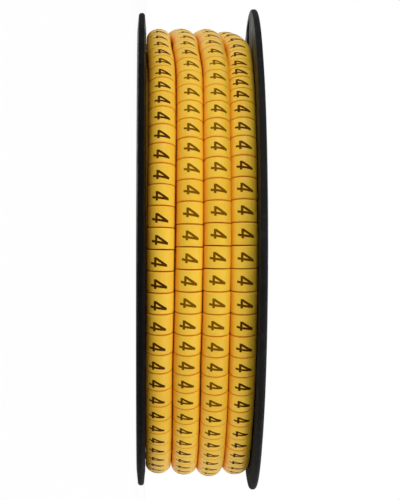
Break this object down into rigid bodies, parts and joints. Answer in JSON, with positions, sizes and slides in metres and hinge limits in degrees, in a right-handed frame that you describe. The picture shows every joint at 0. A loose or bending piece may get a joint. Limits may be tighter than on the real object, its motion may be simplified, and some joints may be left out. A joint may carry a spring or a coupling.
{
  "type": "cable marker reel",
  "caption": "Reel of soft oval cable marker sleeves, each printed with a digit, wound side by side on a two-piece moulded spool with a spindle bore.",
  "frame": {"origin": "centre of the reel's lower face, on the floor", "axes": "+Z along the reel's axis, from the lower flange to the upper one; -X towards the tuck slot"},
  "size_m": [0.139, 0.139, 0.0346],
  "materials": {
    "spool_plastic": "glossy black moulding",
    "marker_plastic": "soft yellow plastic with black printed digits"
  },
  "bodies": {
    "root": {"spool_body": "spool_plastic", "end_flange": "spool_plastic", "marker_strip": "marker_plastic"}
  },
  "joints": []
}
